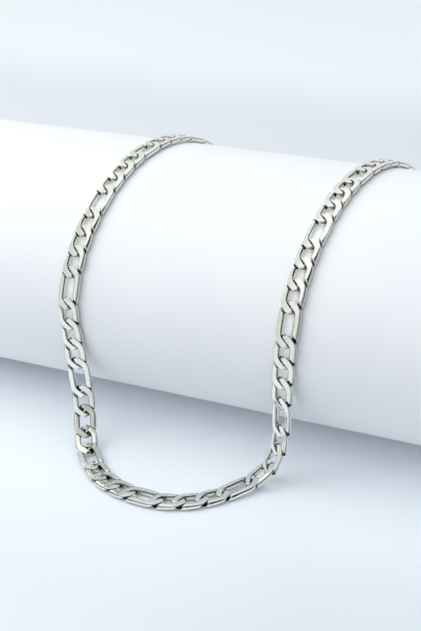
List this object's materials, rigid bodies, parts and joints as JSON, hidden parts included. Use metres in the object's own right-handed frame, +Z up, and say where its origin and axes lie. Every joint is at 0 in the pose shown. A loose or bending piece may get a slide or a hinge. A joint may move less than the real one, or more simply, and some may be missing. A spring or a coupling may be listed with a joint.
{
  "type": "figaro chain necklace on a display roll",
  "caption": "Flat figaro chain necklace, a closed loop of short and long links, laid over a white oval display roll.",
  "frame": {"origin": "on the table, under the middle of the display roll", "axes": "+X along the roll, to the right as seen from the front; +Y to the back; +Z up"},
  "size_m": [0.19, 0.1299, 0.0547],
  "materials": {
    "chain_metal": "polished, silver-coloured",
    "roll_cover": "smooth matte white"
  },
  "bodies": {
    "root": {"display_roll": "roll_cover", "chain_front": "chain_metal", "chain_back": "chain_metal", "clasp_ring": "chain_metal", "clasp": "chain_metal", "end_ring": "chain_metal"}
  },
  "joints": []
}
